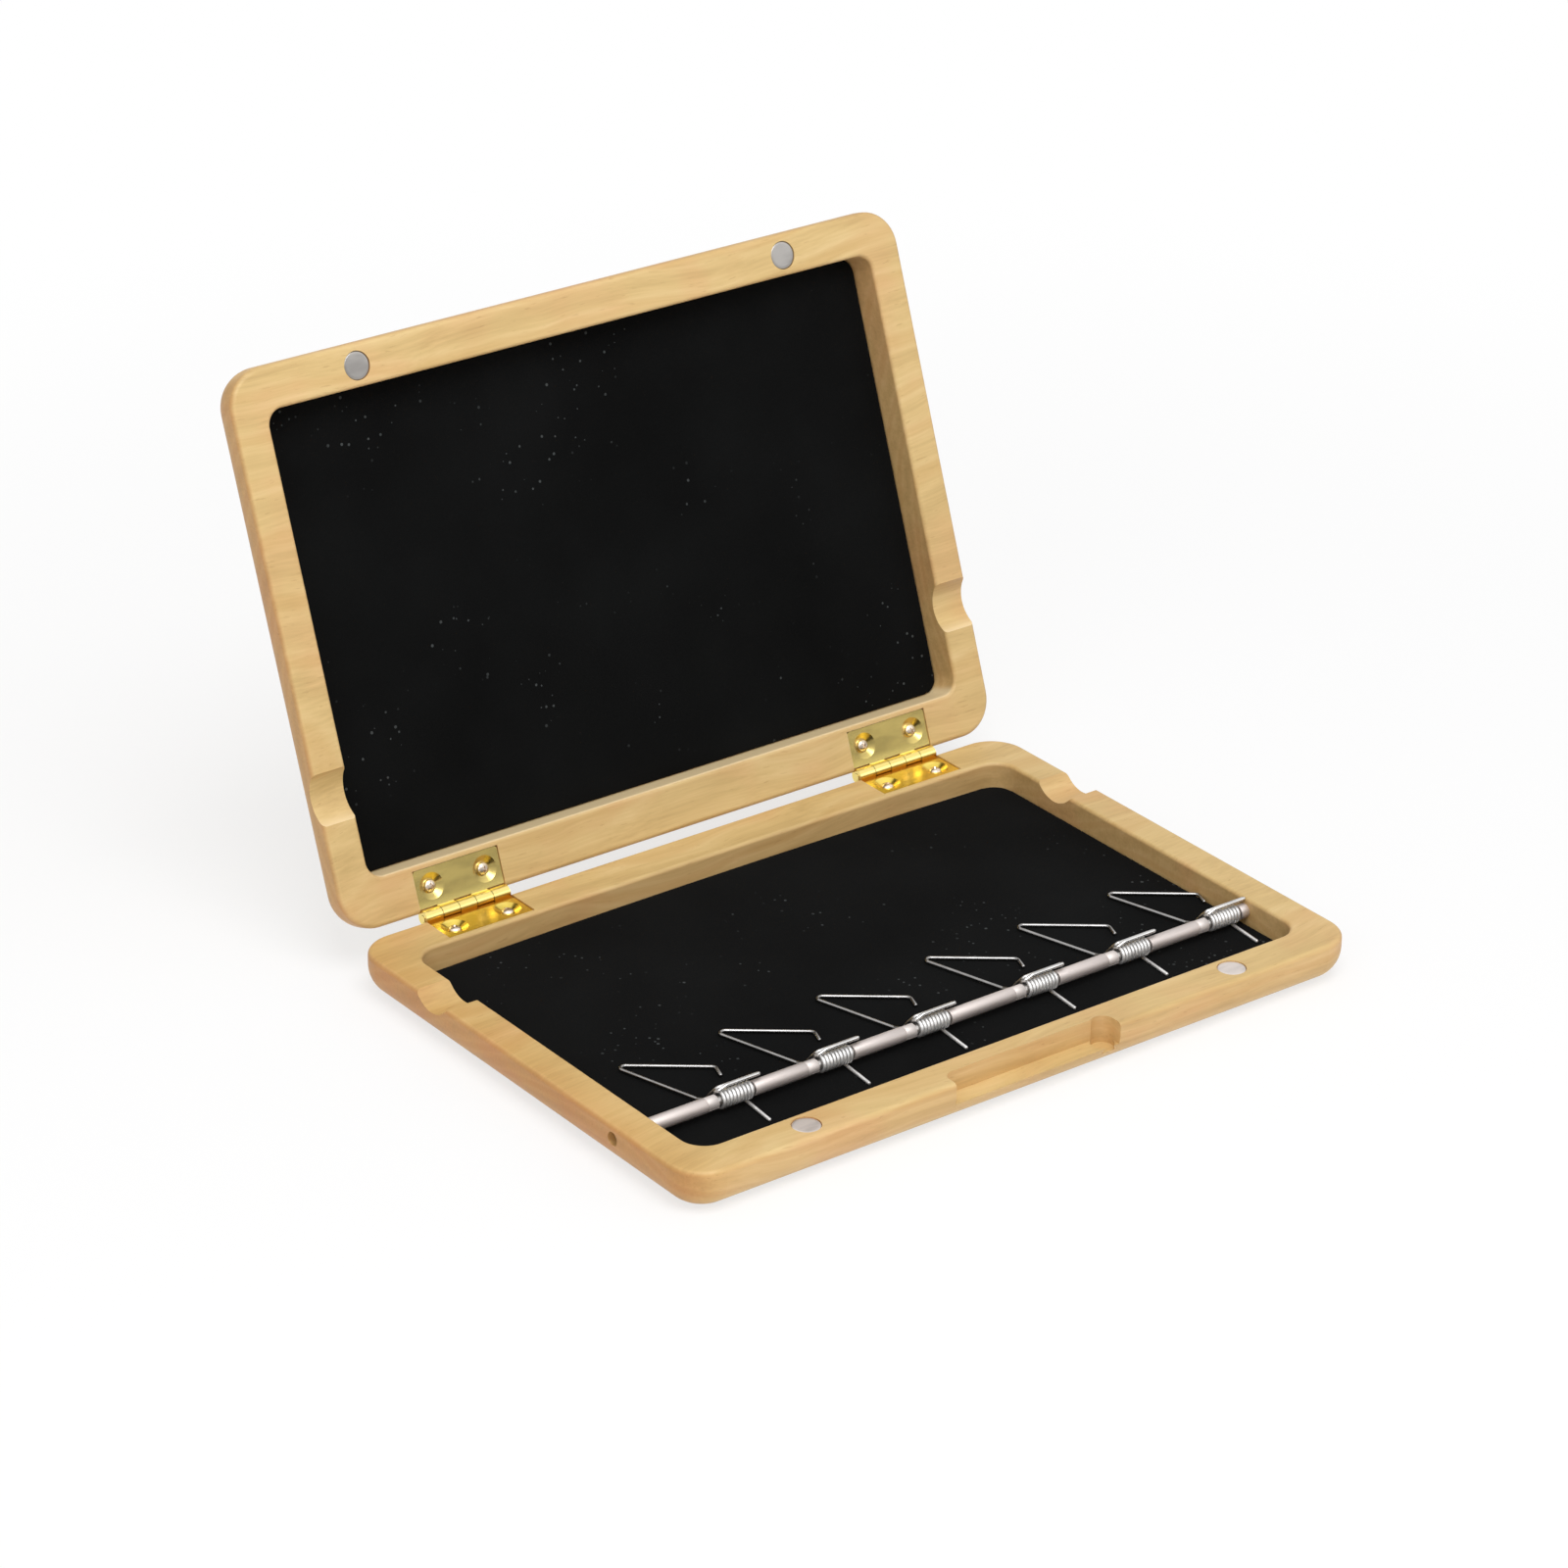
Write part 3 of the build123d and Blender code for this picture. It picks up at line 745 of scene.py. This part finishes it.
# Six clips are each bent from one length of bright spring wire: a hooked loop
# that lies on the velvet, a hairpin bar over the rod, a close coil and a foot.
wire_radius = 0.3
wire_sides = 12
rubbed_end = ((0, 0.55), (0.1, 0.9), (0.22, 1.0))
coil_radius = 1.25
coil_left = -0.35
coil_start = math.radians(30)
coil_turns = 9 + 1 / 12
coil_pitch = 0.7073
loop_level = -1.85
hooked_loop = [(6.95, 9.0, loop_level), (8.0, 11.95, loop_level), (-5.9, 22.5, loop_level)]
riser = [(-1.1, 4.8, loop_level + 0.25), (-0.75, 3.0, -1.1), (-0.35, 1.95, 0.5),
         (0.0, 0.72, 2.0)]
hairpin = [(1.2, 0.62, 2.07), (8.05, 0.62, 2.07), (8.05, 0.03, 2.37), (1.4, 0.03, 2.35),
           (-0.15, 0.1, 1.75)]
loop_bends = (0.9, 0.9, 0.62, 0.62, 0.62, 0.62, 1.5, 0.31, 0.31, 0.8, 0.2, 0.4)
foot_level = -1.95
foot_corners = [(5.45, 0.3, foot_level), (4.75, -7.4, foot_level)]
foot_bends = (0.6, 0.62)


def coil_line(points_a_turn):
    """The coil's centre line from its left end to its right, in the clip's own place."""
    line = []
    count = round(coil_turns * points_a_turn)
    for i in range(count + 1):
        turns = i / points_a_turn
        angle = coil_start - 2 * math.pi * turns
        line.append(Vector((coil_left + coil_pitch * turns,
                            coil_radius * math.cos(angle), coil_radius * math.sin(angle))))
    return line


def bent(corners, bends):
    """A line through corners, with each bend rounded to its radius."""
    line = [corners[0]]
    for before, corner, after, radius in zip(corners, corners[1:], corners[2:], bends):
        way_in = (corner - before).normalized()
        way_out = (after - corner).normalized()
        turn = way_in.angle(way_out)
        start = corner - way_in * radius * math.tan(turn / 2)
        side = (way_out - way_in * way_in.dot(way_out)).normalized()
        centre = start + side * radius
        steps = max(4, round(turn / 0.18))
        for i in range(steps + 1):
            angle = turn * i / steps
            line.append(centre + (way_in * math.sin(angle) - side * math.cos(angle)) * radius)
    line.append(corners[-1])
    return line


def wire(line):
    """A round wire in millimetres along a line, with its ends cut and rubbed round."""
    mesh = bmesh.new()
    ways = [(b - a).normalized() for a, b in zip(line, line[1:])]
    ways = [ways[0]] + [(a + b).normalized() for a, b in zip(ways, ways[1:])] + [ways[-1]]
    angles = [2 * math.pi * i / wire_sides for i in range(wire_sides)]
    across = ways[0].orthogonal().normalized()
    rings = []
    for index, (point, way) in enumerate(zip(line, ways)):
        if index > 0:
            across = ways[index - 1].rotation_difference(way) @ across
        across = (across - way * across.dot(way)).normalized()
        up = way.cross(across)
        if index == 0:
            stations = [(point + way * inward, share) for inward, share in rubbed_end]
        elif index == len(line) - 1:
            stations = [(point - way * inward, share) for inward, share in rubbed_end[::-1]]
        else:
            stations = [(point, 1.0)]
        for centre, share in stations:
            radius = wire_radius * share
            rings.append([mesh.verts.new((centre + (across * math.cos(a) + up * math.sin(a))
                                          * radius) / 1000) for a in angles])
    for low, high in zip(rings, rings[1:]):
        for i in range(wire_sides):
            after = (i + 1) % wire_sides
            mesh.faces.new((low[i], low[after], high[after], high[i]))
    mesh.faces.new(rings[0][::-1])
    mesh.faces.new(rings[-1])
    bmesh.ops.recalc_face_normals(mesh, faces=mesh.faces)
    return mesh


def bright_wire():
    """Spring wire, painted darker low down over the velvet as painted shade, and bright higher
    up.
    """
    material = bright_metal("spring_wire", (0.82, 0.81, 0.80), 0.28, 0.1, (1, 1, 1))
    tree = material.node_tree
    surface = tree.nodes["Principled BSDF"].inputs["Base Color"]
    place = step(tree, "SeparateXYZ", Vector=step(tree, "TexCoord").outputs["Object"])
    # Low down the wire is painted darker, as painted shade over the black velvet.
    above_painted_shade = window(tree, place.outputs["Z"], 0.0052, 0.0075)
    painted_shade_below = tinted(tree, "MULTIPLY", 1.0, surface.links[0].from_socket, (0.52, 0.52, 0.52, 1))
    put_in(surface, tinted(tree, "MIX", above_painted_shade, painted_shade_below, surface.links[0].from_socket))
    return material


def clip_piece(name, line, finish, place):
    """One length of a clip's wire, set in its place along the rod."""
    mesh = wire(line)
    bmesh.ops.transform(mesh, matrix=place, verts=mesh.verts)
    return made_piece(name, mesh, finish, crease=60)


coil = coil_line(36)
way_in = (coil[1] - coil[0]).normalized()
way_out = (coil[-1] - coil[-2]).normalized()
loop_line = [Vector(p) for p in hooked_loop + riser + hairpin]
loop_line += [coil[0] - way_in * 0.8, coil[0]]
foot_line = [coil[-1], coil[-1] + way_out * 1.6]
foot_line += [Vector(p) for p in foot_corners]
loop = bent(loop_line, loop_bends) + coil[1:5]
foot = coil[-5:-1] + bent(foot_line, foot_bends)
spring_wire = bright_wire()
coil_wire = bright_metal("coil_wire", (0.86, 0.85, 0.84), 0.46, 0.1, (1, 1, 1), 0.75)
for number, start in enumerate(coil_starts, 1):
    body = "clip_" + str(number)
    place = Matrix.Translation(Vector((start, rod_y, rod_z)) / 1000)
    held = clip_piece(body + "_loop", loop, spring_wire, place)
    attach(held, body)
    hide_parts(body)
    spring = clip_piece(body + "_coil", coil, coil_wire, place)
    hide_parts(body)
    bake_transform(spring)
    resting = clip_piece(body + "_foot_wire", foot, coil_wire, place)
    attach(resting, "base")
    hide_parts(body + "_foot")
